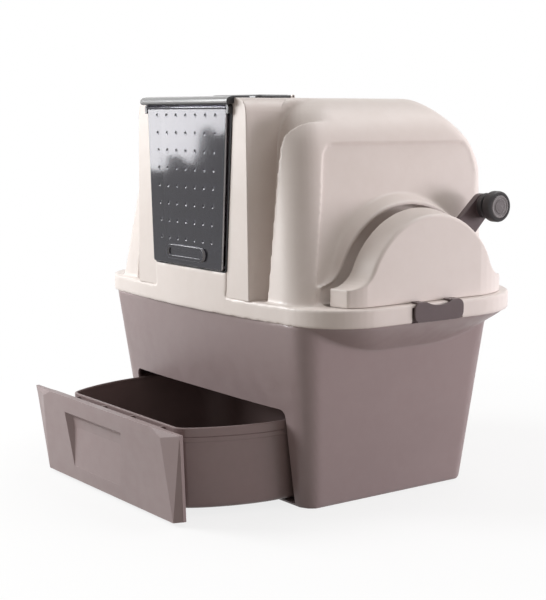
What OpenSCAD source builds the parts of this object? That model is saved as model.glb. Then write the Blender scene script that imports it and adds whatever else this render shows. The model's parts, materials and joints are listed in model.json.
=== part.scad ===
// Hooded litter box with a lever-turned sifting pan and a pull-out waste drawer.
// The front faces -Y, the lever is on the +X side, and the underside stands on Z = 0.

/* [Rim belt] */
// Width of the rim belt, side to side
rim_w = 664; // [660:1:668]
// How far the belt reaches forward at its corners
rim_front = 224; // [223:1:225]
// How far the belt reaches back
rim_rear = 226; // [224:1:230]
// How far the belt bows out in the middle of the front
rim_bow = 15; // [14:0.5:16]
// Height of the belt's lower edge
rim_z = 281.5; // [281:0.5:282]
// Height of the belt itself
rim_h = 28; // [27.5:0.5:28]

/* [Base] */
// Half width of the base at the floor
foot_x = 245; // [243:1:246]
// Reach of the base to the front at the floor
foot_front = 187; // [186:1:188]
// Reach of the base to the rear at the floor
foot_rear = 135; // [134:1:137]
// Half width of the drawer opening
opening_x = 214; // [213:0.5:215]
// Top of the drawer opening
opening_top = 150; // [149:0.5:152]
// Wall of the base
base_t = 3.5; // [3:0.5:4]

/* [Hood] */
// Height of the roof
roof_z = 610; // [608:1:612]
// Wall of the hood
hood_t = 3; // [2.8:0.1:3.2]
// Front face of the door arch
arch_y = -234; // [-234.5:0.5:-233.5]

/* [Door] */
// Half width of the doorway at its sill and at its head
door_half = [103, 121]; // [102:0.5:122]
// Height of the doorway's sill and head
door_z = [346, 601]; // [345:0.5:602]

/* [Drawer] */
// How far the drawer stands open
drawer_out = 173; // [170:0.5:174]
// Half width of the waste bin at its rim
bin_x = 209; // [207:0.5:209]
// Height of the waste bin's rim
bin_top = 134; // [130:0.5:135]

/* [Sifting drive] */
// Height of the lever's axle
axle_z = 310; // [309.5:0.5:311]
// Place of the axle along Y
axle_y = -6; // [-7:0.5:-5]
// Outer radius of the litter pan
pan_r = 150; // [146:1:150]
// Half length of the litter pan
pan_x = 227; // [224:0.5:227]
// Distance from the axle to the lever's grip
lever_r = 195; // [193:1:197]
// Angle of the lever above the horizontal at rest, leaning to the rear
lever_deg = 43.3; // [42:0.1:46]
// Number of slots across the sifting grid
grid_slots = 30; // [24:1:32]

/* [Hidden] */
$fn = 64;

cream = [0.88, 0.85, 0.81];
taupe = [0.53, 0.48, 0.46];
dark_taupe = [0.40, 0.35, 0.34];
smoke = [0.20, 0.20, 0.23, 0.85];
black = [0.16, 0.14, 0.15];
steel = [0.70, 0.70, 0.72];

eps = 0.01;
rim_x = rim_w / 2;
rim_top = rim_z + rim_h;
rim_rf = 99;        // belt corner radius, front
rim_rr = 153;       // belt corner radius, rear
gap = 0.3;          // clearance between pieces that only meet

// ---------------------------------------------------------------- outlines

// Points along an arc, end points included
function arc(c, r, a0, a1, n) =
    [for (i = [0:n]) let (a = a0 + (a1 - a0) * i / n) [c[0] + r * cos(a), c[1] + r * sin(a)]];

// Rounded rectangle seen from above; the front edge bows out by bow
function outline(hx, front, rear, rf, rr, bow = 0, n = 8, nb = 6) = concat(
    [for (i = [1:nb - 1]) let (t = 2 * i / nb - 1) [t * (hx - rf), -front - bow * (1 - t * t)]],
    arc([hx - rf, rf - front], rf, -90, 0, n),
    arc([hx - rr, rear - rr], rr, 0, 90, n),
    arc([rr - hx, rear - rr], rr, 90, 180, n),
    arc([rf - hx, rf - front], rf, 180, 270, n));

function belt_outline(inset, n = 10) = outline(
    rim_x - inset, rim_front - inset, rim_rear - inset, rim_rf - inset, rim_rr - inset, rim_bow, n);

function at_z(points, z) = [for (p = points) [p[0], p[1], z]];
function at_x(points, x) = [for (p = points) [x, p[0], p[1]]];

// Closed solid through rings that all have the same number of points
module loft(rings) {
    n = len(rings[0]);
    k = len(rings);
    polyhedron(
        points = [for (r = rings) each r],
        faces = concat(
            [[for (i = [0:n - 1]) i]],
            [for (j = [0:k - 2], i = [0:n - 1]) let (a = j * n + i, b = j * n + (i + 1) % n)
                [a, a + n, b + n]],
            [for (j = [0:k - 2], i = [0:n - 1]) let (a = j * n + i, b = j * n + (i + 1) % n)
                [a, b + n, b]],
            [[for (i = [n - 1:-1:0]) (k - 1) * n + i]]),
        convexity = 10);
}

// Extrudes a (y, z) outline along +X from x
module along_x(x, length) {
    translate([x, 0, 0]) rotate([90, 0, 90]) linear_extrude(length, convexity = 8) children();
}

// Extrudes an (x, z) outline along +Y from y
module along_y(y, length) {
    translate([0, y + length, 0]) rotate([90, 0, 0]) linear_extrude(length, convexity = 8) children();
}

module rod_x(r, x0, x1) {
    translate([x0, 0, 0]) rotate([0, 90, 0]) cylinder(r = r, h = x1 - x0);
}

module rod_y(r, y0, y1) {
    translate([0, y0, 0]) rotate([-90, 0, 0]) cylinder(r = r, h = y1 - y0);
}

module box(low, high) {
    translate(low) cube(high - low);
}

module both_sides() {
    children();
    mirror([1, 0, 0]) children();
}

module at_axle() {
    translate([0, axle_y, axle_z]) children();
}

// Symmetric trapezoid in (x, z), with rounded corners
module trapezoid(half, z, r) {
    offset(r = r, $fn = 24) offset(delta = -r)
        polygon([[-half[0], z[0]], [half[0], z[0]], [half[1], z[1]], [-half[1], z[1]]]);
}

module stadium(length, height) {
    for (s = [-1, 1]) translate([s * (length - height) / 2, 0]) circle(d = height);
    square([length - height, height], center = true);
}

// ---------------------------------------------------------------- base

base_floor = 4;
flare_in = 54;      // how far inside the belt the flare starts
flare_z = 236;
flange_in = 4.7;    // the flange under the belt, inside its outline
flange_top = 302;
tower_x = [238.5, 249];
tower_half = 32;
bush_r = 17;
shaft_r = 12;
shaft_fit = 0.06;
rail_x = 150;
rail_top = 9.8;
latch_y = -12;
latch_half = 49;
latch_pin = [329.5, 286];
latch_pin_r = 2;

module base_body(inset, z0, z1) {
    lean = (z1 - rim_z) / rim_z;
    loft([
        at_z(outline(foot_x - inset, foot_front - inset, foot_rear - inset, 25 - inset,
            25 - inset), z0),
        at_z(outline(276 + 31 * lean - inset, 222 + 35 * lean - inset, 166 + 31 * lean - inset,
            34 - inset, 34 - inset, 12), z1)]);
}

function flare_outline(t, inset) = let (d = flange_in + flare_in * pow(t, 1.15) + inset)
    outline(rim_x - d, rim_front - d, rim_rear - d,
        rim_rf - flange_in - inset, rim_rr - flange_in - inset, rim_bow, 8);

module base_flare(inset, lift) {
    loft(concat(
        [for (t = [1, 0.75, 0.5, 0.25, 0]) at_z(flare_outline(t, inset), rim_z - t * (rim_z - flare_z) + lift)],
        [at_z(flare_outline(0, inset), flange_top + 2 * lift)]));
}

module base_tub() {
    color(taupe) difference() {
        union() {
            difference() {
                union() {
                    base_body(0, 0, rim_z);
                    base_flare(0, 0);
                }
                difference() {
                    union() {
                        base_body(base_t, base_floor, flange_top + 5);
                        base_flare(base_t, 3);
                    }
                    both_sides() latch_block(313, 330, latch_half + 6);
                }
                both_sides() latch_block(321, 340, latch_half + 2);
            }
            both_sides() bearing_tower();
            for (s = [-1, 1]) box([s * rail_x - 3, -170, base_floor - eps], [s * rail_x + 3, 120, rail_top]);
            both_sides() latch_ears();
        }
        drawer_opening();
    }
}

// Room for the latch's barrel, and the thicker wall behind it
module latch_block(x0, x1, half) {
    box([x0, latch_y - half, x1 > 330 ? 280.8 : 262], [x1, latch_y + half, flange_top + 20]);
}

module drawer_opening() {
    along_y(-260, 120) difference() {
        trapezoid([opening_x, opening_x], [-40, opening_top], 12);
        translate([-300, -60]) square([600, 60 + base_floor]);
    }
}

// Wall bracket with an open saddle that the bush drops into
module bearing_tower() {
    at_axle() {
        difference() {
            union() {
                box([tower_x[0], -tower_half, -130], [tower_x[1], tower_half, 5]);
                intersection() {
                    box([tower_x[0], -tower_half, -130], [300, tower_half, -34]);
                    translate([0, -axle_y, -axle_z]) base_body(base_t / 2, 0, rim_z);
                }
            }
            rod_x(bush_r + 0.02, 230, 320);
            box([230, -bush_r - 0.02, 0], [320, bush_r + 0.02, 40]);
        }
    }
}

module latch_ears() {
    for (y = [-34, 10]) difference() {
        union() {
            translate([latch_pin[0], 0, latch_pin[1]]) rod_y(4, y, y + 5);
            box([320, y, latch_pin[1] - 4], [latch_pin[0], y + 5, latch_pin[1] + 4]);
        }
        translate([latch_pin[0], 0, latch_pin[1]]) rod_y(latch_pin_r, y - 1, y + 6);
    }
}

module bearing(side) {
    color(black) mirror([side < 0 ? 1 : 0, 0, 0]) at_axle() difference() {
        union() {
            rod_x(bush_r, tower_x[0], tower_x[1]);
            rod_x(21, tower_x[0] - 1.8, tower_x[0]);
        }
        rod_x(shaft_r + shaft_fit, 230, 260);
    }
}

module latch_pins() {
    color(steel) both_sides() translate([latch_pin[0], 0, latch_pin[1]])
        rod_y(latch_pin_r, -46, 26);
}

// Thumb latch: pivots near its lower edge and hooks over the belt
module latch() {
    x0 = rim_x + 0.5;
    color(taupe) difference() {
        union() {
            along_x(x0, 4) difference() {
                offset(r = 11, $fn = 32) offset(delta = -11) polygon([
                    [latch_y - latch_half, rim_z + 1], [latch_y + latch_half, rim_z + 1],
                    [latch_y + latch_half, rim_top + 3], [latch_y - latch_half, rim_top + 3]]);
                translate([latch_y + 1, rim_top + 56.5]) circle(r = 60, $fn = 128);
            }
            box([319.5, 10, rim_top + 0.6], [x0 + 1, 30, rim_top + 2.8]);
            box([319.5, -54, rim_top + 0.6], [x0 + 1, -40, rim_top + 2.8]);
            for (y = [-44.5, -28.5, 15.5]) {
                translate([latch_pin[0], 0, latch_pin[1]]) rod_y(4.2, y, y + (y == -28.5 ? 38 : 10));
                box([latch_pin[0], y, latch_pin[1] - 4.2],
                    [x0 + 1, y + (y == -28.5 ? 38 : 10), latch_pin[1] + 4.2]);
            }
        }
        translate([latch_pin[0], 0, latch_pin[1]]) {
            rod_y(latch_pin_r + shaft_fit, -80, 60);
            for (y = [-34.5, 9.5]) rod_y(4.4, y, y + 6);
        }
        // waist that the finger pulls on
        translate([x0 + 6.5, 0, rim_top - 9]) rod_y(4, latch_y - 22, latch_y + 22);
    }
}

// ---------------------------------------------------------------- hood

shoulder_z = 535;
cabin_z = [rim_top, 345, 400, 455, 495, 515, 535, 552, 566, 578, 588, 596, 602, 606.5,
    roof_z - 0.8, roof_z];

// Half width, front reach and rear reach of the cabin at height z
function cabin_x(z) =
    let (t = max(0, min(1, (z - shoulder_z) / (roof_z - shoulder_z))))
    264 - 0.185 * (z - 330) - 72 * (1 - sqrt(1 - t * t));
function cabin_front(z) = let (t = max(0, (z - 545) / 65)) 220 - 0.095 * (z - rim_top) - 31 * t * t;
function cabin_rear(z) = let (t = max(0, (z - 495) / 115)) 212 - 0.062 * (z - rim_top) - 85 * pow(t, 1.5);
cabin_rf = 50;      // cabin corner radius, front
function cabin_rr(z) = max(45, 130 - 0.36 * (z - rim_top));
function cabin_section(z, inset, setback) = outline(
    cabin_x(z) - inset, cabin_front(z) - setback * (1 - z / 1800) - inset, cabin_rear(z) - inset,
    cabin_rf - inset, cabin_rr(z) - inset);

// setback moves the front back to the floor of the grooves
module cabin(inset, foot, setback = 0) {
    drop = inset / (roof_z - rim_top);
    loft(concat(
        [at_z(cabin_section(rim_top, inset, setback), foot)],
        [for (z = cabin_z) at_z(cabin_section(z, inset, setback), z - drop * (z - rim_top))]));
}

// The pocket that makes the flat side panel; grow widens and deepens it
pocket_foot = [253, 345];
pocket_lean = 9.48;
module side_pocket(grow) {
    translate([pocket_foot[0], 0, pocket_foot[1]]) rotate([0, -pocket_lean, 0]) translate([-grow, 0, 0])
        along_x(0, 60) offset(r = grow) offset(r = 22, $fn = 24) offset(delta = -22) polygon([
            [-189, rim_top - pocket_foot[1] - 5 * grow - 0.4], [176, rim_top - pocket_foot[1] - 5 * grow - 0.4],
            [166, 130], [150, 200], [-143, 200], [-152, 150]]);
}

// Room cut away in front of the roof: the groove beside the arch, and all above the ridge's round top
groove_x = [153, 187];
groove_depth = 32;
ridge_top = 584;
ridge_r = 46;       // corner of the ridge's top
module groove(grow) {
    low = rim_top - 5 * grow;
    along_y(-300, 200 + grow) difference() {
        translate([groove_x[0] - grow, low]) square([200, 700 - low]);
        offset(r = ridge_r - grow, $fn = 48) offset(delta = grow - ridge_r)
            translate([groove_x[1] + grow, 200]) square([300, ridge_top - grow - 200]);
    }
}

module arch(inset) {
    back = -140;
    along_y(arch_y + inset, back - arch_y - inset + (inset > 0 ? 20 : 0)) {
        offset(r = 22 - inset, $fn = 32) offset(delta = -22)
            polygon([[-160, rim_z], [160, rim_z], [153, roof_z - 0.3], [-153, roof_z - 0.3]]);
    }
}

// Bell-shaped outline of the lever cover and of the fender over it
bell_foot = 26.5;   // height of the foot over the axle
bell_r = 45;        // concave blend from the foot to the arch
function bell(r, foot = bell_foot, low = rim_top - axle_z) =
    let (a = asin((foot + bell_r) / (r + bell_r)), cy = (r + bell_r) * cos(a))
    concat(
        [[-cy, low], [cy, low]],
        arc([cy, foot + bell_r], bell_r, 270, 180 + a, 5),
        arc([0, 0], r, a, 180 - a, 32),
        arc([-cy, foot + bell_r], bell_r, -a, -90, 5));

slot_x = [260, 277];   // the lever swings between these planes
fender_r = [139.5, 158, 145.5];   // underside, top at the wall, top at the slot

module fender() {
    at_axle() difference() {
        loft([at_x(bell(fender_r[1]), 214), at_x(bell(fender_r[1]), 230), at_x(bell(fender_r[2]), slot_x[0])]);
        along_x(210, 60) polygon(bell(fender_r[0], bell_foot, -20));
    }
}

module cabin_body(inset, foot) {
    difference() {
        union() {
            difference() {
                cabin(inset, foot);
                both_sides() groove(inset);
            }
            cabin(inset, foot, groove_depth);
        }
        both_sides() side_pocket(inset);
    }
}

module hood() {
    color(cream) difference() {
        union() {
            cabin_body(0, rim_top - 1.5);
            intersection() {
                fender();
                translate([0, 0, rim_top - 1.5]) linear_extrude(300) polygon(belt_outline(8));
            }
            difference() {
                arch(0);
                translate([0, 0, rim_z]) linear_extrude(rim_h - 1) square(900, center = true);
            }
            translate([0, 0, rim_z]) linear_extrude(rim_h, convexity = 8) polygon(belt_outline(0, 16));
            along_y(-240, 10) polygon([[-97, rim_top - 2], [97, rim_top - 2], [101, door_z[0]],
                [-101, door_z[0]]]);
        }
        hood_hollow();
        doorway();
        filter_hole();
        lever_slot();
        both_sides() latch_window();
        for (y = cover_bosses) translate([297, axle_y + y, rim_top - 8]) cylinder(r = 1.7, h = 12, $fn = 24);
    }
    color(cream) filter_pocket();
    color(cream) both_sides() lid_lug();
}

module hood_hollow() {
    cabin_body(hood_t, rim_top - 10);
    difference() {
        arch(hood_t);
        translate([0, 0, rim_z - 1]) linear_extrude(rim_h + 1) square(900, center = true);
    }
    translate([0, 0, rim_z - 1]) linear_extrude(rim_h - hood_t + 1) polygon(belt_outline(hood_t));
}

module doorway() {
    along_y(arch_y - 20, 40) trapezoid(door_half, door_z, 6);
}

filter_y = [-144, -92];
filter_x = 64;
module filter_hole() {
    box([-filter_x, filter_y[0], roof_z - 30], [filter_x, filter_y[1], roof_z + 10]);
}

// Tray under the roof with a slotted floor that the filter lies on
module filter_pocket() {
    t = 2.5;
    floor_z = roof_z - 15;
    difference() {
        box([-filter_x - t, filter_y[0] - t, floor_z], [filter_x + t, filter_y[1] + t, roof_z]);
        box([-filter_x, filter_y[0], floor_z + t], [filter_x, filter_y[1], roof_z + 1]);
        for (i = [-4:4]) box([i * 13 - 3, filter_y[0] + 8, floor_z - 1],
            [i * 13 + 3, filter_y[1] - 8, floor_z + t + 1]);
    }
}

// Room for the lever arm to swing, and for its hub below the rim's top
module lever_slot() {
    box([slot_x[0], axle_y - 168, rim_top - 8], [slot_x[1], axle_y + 162, rim_top + 40]);
    at_axle() {
        rod_x(31, slot_x[0] - eps, 300);
        box([slot_x[0], -31, -40], [300, 31, 0]);
        rod_x(16, 230, slot_x[0] + 1);
        box([230, -16, -60], [slot_x[0] + 1, 16, 0]);
    }
}

module latch_window() {
    box([rim_x - 14, latch_y - latch_half - 2, rim_z - 1],
        [rim_x + 10, latch_y + latch_half + 2, rim_top - hood_t - 1.5]);
}

cover_x = [slot_x[1], 318];
cover_inset = 13;
module cover_form(shrink, low) {
    foot = bell_foot - shrink;
    intersection() {
        at_axle() loft([
            at_x(bell(137 - shrink, foot, low - axle_z), cover_x[0] + shrink),
            at_x(bell(129.5 - shrink, foot, low - axle_z), cover_x[1] - 4 - shrink),
            at_x(bell(127.5 - shrink, foot, low - axle_z), cover_x[1] - 1 - shrink),
            at_x(bell(125 - shrink, foot, low - axle_z), cover_x[1] - shrink)]);
        translate([0, 0, rim_top - 20]) linear_extrude(200) polygon(belt_outline(cover_inset + shrink));
    }
}

cover_bosses = [-120, -60, 48, 108];
module lever_cover() {
    t = 2.5;
    color(cream) difference() {
        cover_form(0, rim_top + gap / 3);
        difference() {
            cover_form(t, rim_top - 6);
            for (y = cover_bosses) hull() {
                translate([297, axle_y + y, rim_top - 9]) cylinder(r = 5.5, h = 18, $fn = 32);
                box([330, axle_y + y - 5, rim_top - 9], [340, axle_y + y + 5, rim_top + 9]);
            }
        }
        at_axle() {
            rod_x(20, 270, cover_x[0] + t + 1);
            box([270, -20, -10], [cover_x[0] + t + 1, 20, 0]);
        }
        for (y = cover_bosses) translate([297, axle_y + y, rim_top - 6]) hull() {
            cylinder(r = 1.6, h = 12.4, $fn = 24);
            cylinder(r = 0.4, h = 13.2, $fn = 24);
        }
    }
}

module cover_screws() {
    color(steel) for (y = cover_bosses) translate([297, axle_y + y, rim_top - hood_t]) {
        translate([0, 0, -2.2]) cylinder(r = 3.4, h = 2.2);
        cylinder(r = 1.5, h = 9);
    }
}

// ---------------------------------------------------------------- door

frame_y = [-236, -214];
frame_w = [2.8, 6.6];   // how far the frame covers the doorway at its sill and at its head
flap_gap = 1.6;         // between the flap and the frame
visor_x = 124;          // half width of the visor
hinge_z = 595.5;
hinge_y = -239.5;
stub_r = 2.5;

module frame_ring(front) {
    fit = 0.4;
    along_y(front, frame_y[1] - front) difference() {
        trapezoid([door_half[0] - fit, door_half[1] - fit], [door_z[0] + fit, door_z[1] - fit], 6);
        trapezoid([door_half[0] - frame_w[0], door_half[1] - frame_w[1]],
            [door_z[0] + 1.9, door_z[1] - 2], 3);
    }
}

module door_frame() {
    color(smoke) difference() {
        union() {
            frame_ring(frame_y[0]);
            // ears that carry the hinge
            intersection() {
                frame_ring(-242);
                box([-200, -300, 586], [200, -200, 650]);
            }
            for (s = [-1, 1], z = [400, 540]) let (x = door_half[0] + 18 * (z - door_z[0]) / 255)
                box([s * x - 4, arch_y + hood_t + 0.2, z], [s * x + 4, arch_y + hood_t + 3, z + 22]);
            // visor over the door, and its lip on the roof
            along_x(-visor_x, 2 * visor_x) polygon([
                [-248, 601.5], [-244, 599.5], [arch_y - 0.2, 601.5], [arch_y - 0.2, roof_z + 0.3],
                [-206, roof_z + 0.3], [-206, roof_z + 2.3], [-238, roof_z + 2.6], [-247, roof_z - 1]]);
        }
        both_sides() translate([0, hinge_y, hinge_z]) rod_x(stub_r + shaft_fit, 100, 118);
    }
}

module entry_door() {
    t = 3;
    y0 = -241;
    color(smoke) {
        difference() {
            union() {
                along_y(y0, t) trapezoid(
                    [door_half[0] - frame_w[0] - flap_gap, door_half[1] - frame_w[1] - flap_gap],
                    [door_z[0] + 3.6, hinge_z + 2.4], 4);
                translate([0, hinge_y, hinge_z]) rod_x(3.1, 9.6 - door_half[1], door_half[1] - 9.6);
                translate([0, hinge_y, hinge_z]) rod_x(stub_r, -117.4, 117.4);
                // moulded pull
                along_y(y0 - 4.5, 5) translate([0, 369]) difference() {
                    stadium(108, 22);
                    stadium(99, 13);
                }
                along_y(y0 - 2, 3) translate([0, 369]) stadium(104, 18);
            }
            // rows of shallow dimples
            for (row = [0:7], col = [-3:3]) let (z = 391 + row * 27.5, s = 24 + row * 0.55)
                translate([col * s, y0 - 2.2, z]) sphere(r = 3, $fn = 20);
        }
    }
}

lid_x = 69;
lid_y = [-150, -86];
lid_pin = [-86, 613];   // y and z of the hinge axis
module lid_outline(inset) {
    polygon(outline(lid_x - inset, -lid_y[0] - inset, lid_y[1] - inset, 10 - inset / 2, 2, 0, 4, 2));
}

module filter_cover() {
    z0 = roof_z + 0.4;
    color(smoke) difference() {
        union() {
            translate([0, 0, z0]) {
                linear_extrude(3) lid_outline(0);
                linear_extrude(4.6) lid_outline(1.5);
                linear_extrude(5.4) lid_outline(4);
            }
            translate([0, lid_pin[0], lid_pin[1]]) {
                rod_x(2.6, -lid_x + 0.5, lid_x - 0.5, $fn = 12);
                rod_x(1.5, -lid_x - 4, lid_x + 4);
            }
        }
        box([3 - lid_x, lid_y[0] + 3, z0 - 1], [lid_x - 3, lid_y[1] - 8, z0 + 2.4]);
        for (i = [-6:6]) box([i * 8 - 2, lid_y[0] + 12, z0], [i * 8 + 2, lid_y[1] - 16, z0 + 12]);
    }
}

// Lug on the roof that carries one end of the filter cover's pin
module lid_lug() {
    difference() {
        hull() {
            translate([0, lid_pin[0], lid_pin[1]]) rod_x(2.8, lid_x + 0.6, lid_x + 4);
            box([lid_x + 0.6, lid_pin[0] - 4, roof_z - 2], [lid_x + 4, lid_pin[0] + 4, roof_z - 1]);
        }
        translate([0, lid_pin[0], lid_pin[1]]) rod_x(1.5 + shaft_fit, lid_x, lid_x + 5);
    }
}

module carbon_filter() {
    color([0.13, 0.13, 0.14]) translate([0, 0, roof_z - 12.3]) linear_extrude(10)
        polygon(outline(filter_x - 1, -filter_y[0] - 1, filter_y[1] - 1, 6, 6));
}

// ---------------------------------------------------------------- drawer

bin_z0 = 10;
bin_front = 362;
bin_rear = -36;
bin_t = 2.8;
panel_y = -396.5;   // front plane of the panel's plate at its top
panel_half = 223;
panel_z = [7, 140];
panel_foot = 203;   // half width of the plate at its foot
panel_lean = 17;    // the panel's foot sits this far behind its top

bin_side_r = 250;   // the sides sweep in towards the front on this radius
bin_sweep = 34;     // and meet the small front corners after this angle
bin_corner_r = 22;

// Outline of the bin seen from above: straight front, small corners, swept sides
function bin_outline(hx, front, rear, rear_r, inset) =
    let (a = bin_sweep, r = bin_corner_r - inset, big = bin_side_r - inset,
        side = [hx - inset - big, (big - r) * sin(a) + r - (front - inset)],
        nose = side + (big - r) * [cos(a), -sin(a)],
        turn = concat(arc(nose, r, -90, -a - 4, 6), arc(side, big, -a, 0, 8)))
    concat(turn, arc([hx - rear_r, rear - rear_r], rear_r - inset, 0, 90, 8),
        arc([rear_r - hx, rear - rear_r], rear_r - inset, 90, 180, 8),
        [for (i = [len(turn) - 1:-1:0]) [-turn[i][0], turn[i][1]]]);

module bin_form(inset, z0, z1) {
    loft([
        at_z(bin_outline(bin_x - 5, bin_front - 9, bin_rear - 6, 48, inset), z0),
        at_z(bin_outline(bin_x, bin_front, bin_rear, 50, inset), z1)]);
}

module waste_bin() {
    color(taupe) difference() {
        union() {
            bin_form(1.2, bin_z0, bin_top - 3);
            // step that carries the liner frame
            intersection() {
                bin_form(0, bin_z0, bin_top - 3);
                box([-300, -500, bin_top - 22], [300, 300, bin_top - 14.5]);
            }
        }
        bin_form(bin_t + 1.2, bin_z0 + 3, bin_top);
    }
}

// Loose ring that clamps a bin liner over the bin's edge
module liner_frame() {
    color(taupe) difference() {
        union() {
            difference() {
                bin_form(0, bin_z0, bin_top);
                box([-300, -500, 0], [300, 300, bin_top - 14]);
            }
            for (x = [-137, -50, 37, 124]) box([x - 2, panel_y + 12.2, bin_top - 11],
                [x + 2, -bin_front + 2, bin_top - 3]);
        }
        difference() {
            bin_form(1.2 - gap, bin_z0 + 0.1, bin_top - 3 + 0.1);
            box([-300, -500, bin_top - 2.9], [300, 300, bin_top + 10]);
        }
        bin_form(bin_t + 2.2, bin_z0, bin_top + 5);
    }
}

// Front panel: a plate, a raised face with slanted sides, and a finger grip
module drawer_front() {
    color(taupe) {
        difference() {
            union() {
                panel_plate();
                panel_face();
            }
            finger_grip();
            // hollows behind the face
            both_sides() hull() {
                box([118, -401, 125], [170, -380, 126]);
                box([118, -386, 18], [182, -366, 19]);
            }
            hull() {
                box([-110, -386.5, 18], [110, -366, 19]);
                box([-110, -388, 84], [110, -378, 85]);
            }
        }
        // hooks under the bin's step, and the return flange along the top
        difference() {
            for (x = [-150, -68, 18, 101]) let (y0 = abs(x) > 114 ? -396 : -389) {
                box([x - 2, y0, 60], [x + 2, -352, 111.7]);
                box([x - 6, y0, 103], [x + 6, -359, 111.7]);
            }
            bin_form(0.9, bin_z0, bin_top);
        }
        box([-196, panel_y + 3, 125], [196, panel_y + 12, 134]);
    }
}

module panel_plate() {
    z = panel_z;
    hull() {
        box([-panel_foot, panel_y + panel_lean, z[0]],
            [panel_foot, panel_y + panel_lean + 5, z[0] + 1]);
        box([-panel_half + 0.7, panel_y, z[1] - 1], [panel_half - 0.7, panel_y + 5, z[1]]);
    }
}

module panel_face() {
    hull() {
        box([-192, -390, 5], [192, -376, 6]);
        box([-202, -379.8, 7], [202, -375, 8]);
        box([-182, -404.5, 130], [182, -393, 131]);
        box([-156, -405, 140.5], [156, -393, 141.5]);
        box([-221, -396.4, 138], [221, -393, 139]);
    }
}

// Wedge-shaped pull: deep under its top edge, running out to nothing at the foot
module finger_grip() {
    hull() {
        box([-112, -440, 116], [68, -403.9, 116.5]);
        box([-99, -440, 28], [46, -392.4, 28.5]);
        box([-101, -391.5, 104.5], [55, -390, 105]);
    }
}

// ---------------------------------------------------------------- litter pan and drive

pan_t = 3;
pan_edge = [168, 370];      // wall of the pan, from the front lip round to the rear edge
grid_top = [-89, 15.5];     // sifting grid, from the step's inner edge
grid_foot = [-38, -141.5];  // down to the pan's wall
pocket_r = 93.8;

module sector(a0, a1, r) {
    polygon(concat([[0, 0]], arc([0, 0], r, a0, a1, 24)));
}

module litter_pan() {
    color(taupe) at_axle() difference() {
        union() {
            along_x(-pan_x, 2 * pan_x) {
                intersection() {
                    difference() {
                        circle(r = pan_r, $fn = 128);
                        circle(r = pan_r - pan_t, $fn = 128);
                    }
                    sector(pan_edge[0], pan_edge[1], 300);
                }
                // step over the front pocket
                polygon([
                    [-(pan_r - 1) * cos(12), (pan_r - 1) * sin(12)],
                    [-(pan_r - 1) * cos(12) + 1.2, (pan_r - 1) * sin(12) - pan_t],
                    [-pocket_r * cos(10), pocket_r * sin(10) - pan_t],
                    [-pocket_r * cos(10), pocket_r * sin(10)]]);
            }
            both_sides() along_x(pan_x - pan_t, pan_t) {
                intersection() {
                    circle(r = pan_r, $fn = 128);
                    translate([-200, -200]) square([400, 200 + 26]);
                }
                circle(r = 40);
            }
        }
        both_sides() {
            rod_x(7, pan_x - 10, pan_x + 10);
            for (a = [45:90:315]) rotate([a, 0, 0]) translate([0, 18, 0]) rod_x(1.6, pan_x - 10, pan_x + 10);
        }
    }
}

// Slotted plate that lets the litter through and holds the clumps back
module sifting_grid() {
    half = pan_x - pan_t - gap;
    d = grid_foot - grid_top;
    length = norm(d);
    t = 3;
    pitch = (2 * half - 16) / grid_slots;
    color(dark_taupe) at_axle() translate([0, grid_top[0], grid_top[1]])
        rotate([atan2(d[1], d[0]), 0, 0]) difference() {
            box([-half, 0, -t], [half, length - 4, 0]);
            for (i = [0:grid_slots - 1], j = [0, 1])
                translate([(i + 0.5) * pitch - half + 8, 10 + j * (length - 16) / 2, -t / 2])
                    box([-pitch * 0.3, 0, -t], [pitch * 0.3, (length - 34) / 2, t]);
        }
}

module grid_screws() {
    d = grid_foot - grid_top;
    color(steel) at_axle() translate([0, grid_top[0], grid_top[1]]) rotate([atan2(d[1], d[0]), 0, 0])
        for (x = [-214, 0, 214]) translate([x, 4.5, gap / 10]) cylinder(r = 2.6, h = 1.8);
}

module hub_flange(x0, x1) {
    difference() {
        rod_x(26, x0, x1);
        for (a = [45:90:315]) rotate([a, 0, 0]) translate([0, 18, 0]) rod_x(1.6, x0 - 1, x1 + 1);
    }
}

// Left-hand pivot of the pan
module pan_hub() {
    color(dark_taupe) at_axle() mirror([1, 0, 0]) {
        hub_flange(pan_x, pan_x + 4);
        rod_x(6.9, pan_x - 6, pan_x + 1);
        rod_x(shaft_r, pan_x + 3, tower_x[1] + 0.5);
        rod_x(9.5, pan_x + 3, 252.6);
        rod_x(shaft_r, tower_x[1] + 2.1, 252.6);
    }
}

module shaft_clip() {
    color(steel) at_axle() mirror([1, 0, 0]) translate([tower_x[1] + 0.6, 0, 0]) difference() {
        rod_x(14, 0, 1.4);
        rod_x(9.6, -1, 3);
        box([-1, -8, 0], [3, 8, 20]);
    }
}

// Right-hand pivot of the pan, squared at its end to drive the pan from the lever
square_half = 8;
module drive_shaft() {
    color(dark_taupe) at_axle() difference() {
        union() {
            hub_flange(pan_x, pan_x + 4);
            rod_x(shaft_r, pan_x + 3, 261);
            box([260, -square_half, -square_half], [273.5, square_half, square_half]);
            rod_x(6.9, pan_x - 6, pan_x + 1);
        }
        rod_x(2, 258, 280);
    }
}

arm_x = [262.5, 273.5];
module at_lever() {
    at_axle() rotate([lever_deg, 0, 0]) children();
}

module lever_arm() {
    fit = 0.1;
    color(dark_taupe) at_lever() difference() {
        union() {
            along_x(arm_x[0], arm_x[1] - arm_x[0]) {
                circle(r = 24);
                polygon([[0, -22], [lever_r, -18.5], [lever_r, 18.5], [0, 22]]);
                translate([lever_r, 0]) circle(r = 18.5);
            }
            translate([0, lever_r, 0]) {
                rod_x(17, arm_x[1] - 1, arm_x[1] + 4);
                rod_x(8, arm_x[1], 304);
            }
        }
        rotate([-lever_deg, 0, 0])
            box([250, -square_half - fit, -square_half - fit], [290, square_half + fit, square_half + fit]);
        translate([0, lever_r, 0]) rod_x(2, 290, 310);
    }
}

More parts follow.
